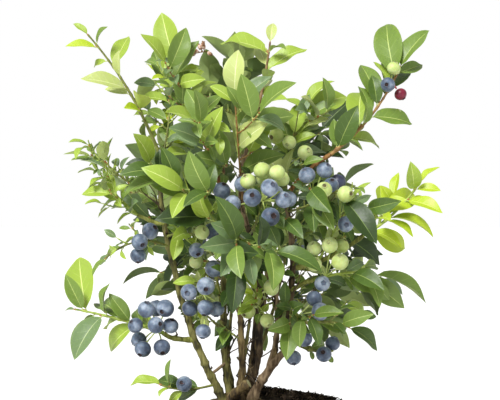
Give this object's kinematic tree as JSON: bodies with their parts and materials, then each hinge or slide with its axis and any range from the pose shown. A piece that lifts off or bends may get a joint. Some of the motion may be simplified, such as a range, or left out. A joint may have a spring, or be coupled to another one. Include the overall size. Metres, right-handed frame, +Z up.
{
  "type": "blueberry bush in a pot",
  "caption": "Small bushy blueberry plant in fruit, with woody canes, leafy side shoots and hanging clusters of round berries, growing from a mound of peat in a plain tapered clay pot.",
  "frame": {"origin": "centre of the pot's flat underside", "axes": "+Z up the bush, +X to the right of the bush as seen from its front, +Y towards its back"},
  "size_m": [0.3544, 0.3356, 0.5653],
  "materials": {
    "terracotta": "matt unglazed clay with a pale bloom",
    "peat": "damp, rough and crumbly",
    "bark": "matt, olive-brown and knobbly",
    "green_wood": "smooth, yellow-green young wood",
    "foliage": "satin leaves with paler backs",
    "berries": "matt with a pale waxy bloom"
  },
  "bodies": {
    "root": {"pot": "terracotta", "soil": "peat", "foot": "bark", "cane_left": "bark", "cane_mid_left": "bark", "cane_mid": "bark", "cane_mid_right": "bark", "cane_low_right": "bark", "cane_right_inner": "bark", "cane_right_outer": "bark", "cane_back_left": "bark", "cane_back_right": "bark", "cut_stub": "bark", "bough_left_low": "green_wood", "bough_left_mid": "green_wood", "bough_top_left": "green_wood", "bough_top": "green_wood", "bough_right_upper": "green_wood", "bough_right_mid": "green_wood", "bough_right_low": "green_wood", "bough_low_right": "green_wood", "bough_back_top": "green_wood", "foliage_left_top": "foliage", "foliage_left_crown": "foliage", "foliage_top_left": "foliage", "foliage_mid_high": "foliage", "foliage_top_mid": "foliage", "foliage_top": "foliage", "foliage_top_right": "foliage", "foliage_right_upper": "foliage", "foliage_right_mid": "foliage", "foliage_right": "foliage", "foliage_right_low": "foliage", "foliage_low_right": "foliage", "foliage_low_fruit": "foliage", "foliage_centre": "foliage", "foliage_centre_left": "foliage", "foliage_centre_low": "foliage", "foliage_centre_right": "foliage", "foliage_left_mid": "foliage", "foliage_left_upper": "foliage", "foliage_left_inner": "foliage", "foliage_left_drop": "foliage", "foliage_left_low": "foliage", "foliage_inner_left": "foliage", "foliage_foot_left": "foliage", "foliage_inner_low": "foliage", "foliage_low_mid": "foliage", "foliage_left_rear": "foliage", "foliage_right_rear": "foliage", "foliage_top_rear": "foliage", "foliage_back_left": "foliage", "foliage_back_right": "foliage", "foliage_back_top": "foliage", "foliage_back_mid": "foliage", "foliage_back_low_left": "foliage", "foliage_back_low_right": "foliage"}
  },
  "joints": []
}
